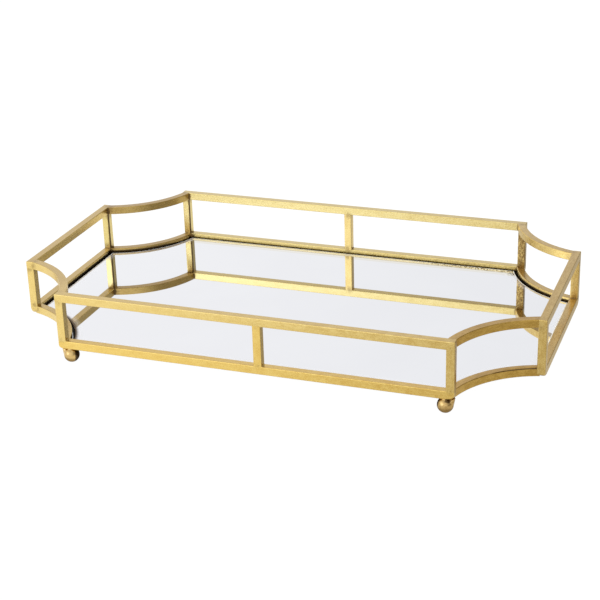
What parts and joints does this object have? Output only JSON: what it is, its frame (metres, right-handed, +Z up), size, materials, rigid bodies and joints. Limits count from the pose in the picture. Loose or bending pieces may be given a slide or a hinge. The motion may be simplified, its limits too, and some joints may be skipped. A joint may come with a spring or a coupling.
{
  "type": "mirrored vanity tray",
  "caption": "Mirror-floored vanity tray with a plaque outline, an open gallery of square gilt bar with concave corners, and ball feet.",
  "frame": {"origin": "on the table plane, under the middle of the tray", "axes": "+X along the tray's length, +Y towards its back long side, +Z up"},
  "size_m": [0.416, 0.2516, 0.0557],
  "materials": {
    "gilt_bar": "antique gold leaf, mottled satin",
    "gilt_ball": "satin gold",
    "tab_steel": "thin gold paint over steel",
    "mirror": "clear glass silvered behind",
    "card": "black card, matt"
  },
  "bodies": {
    "root": {"lower_rail_front": "gilt_bar", "lower_rail_back": "gilt_bar", "lower_rail_left": "gilt_bar", "lower_rail_right": "gilt_bar", "lower_arc_back_left": "gilt_bar", "lower_arc_back_right": "gilt_bar", "lower_arc_front_left": "gilt_bar", "lower_arc_front_right": "gilt_bar", "upper_rail_front": "gilt_bar", "upper_rail_back": "gilt_bar", "upper_rail_left": "gilt_bar", "upper_rail_right": "gilt_bar", "upper_arc_back_left": "gilt_bar", "upper_arc_back_right": "gilt_bar", "upper_arc_front_left": "gilt_bar", "upper_arc_front_right": "gilt_bar", "post_front_left": "gilt_bar", "post_front_middle": "gilt_bar", "post_front_right": "gilt_bar", "post_back_left": "gilt_bar", "post_back_middle": "gilt_bar", "post_back_right": "gilt_bar", "post_left_front": "gilt_bar", "post_left_back": "gilt_bar", "post_right_front": "gilt_bar", "post_right_back": "gilt_bar", "foot_back_left": "gilt_ball", "foot_back_right": "gilt_ball", "foot_front_left": "gilt_ball", "foot_front_right": "gilt_ball", "tab_back_left": "tab_steel", "tab_back_right": "tab_steel", "tab_front_left": "tab_steel", "tab_front_right": "tab_steel", "tab_left": "tab_steel", "tab_right": "tab_steel", "mirror_glass": "mirror", "backing_card": "card"}
  },
  "joints": []
}
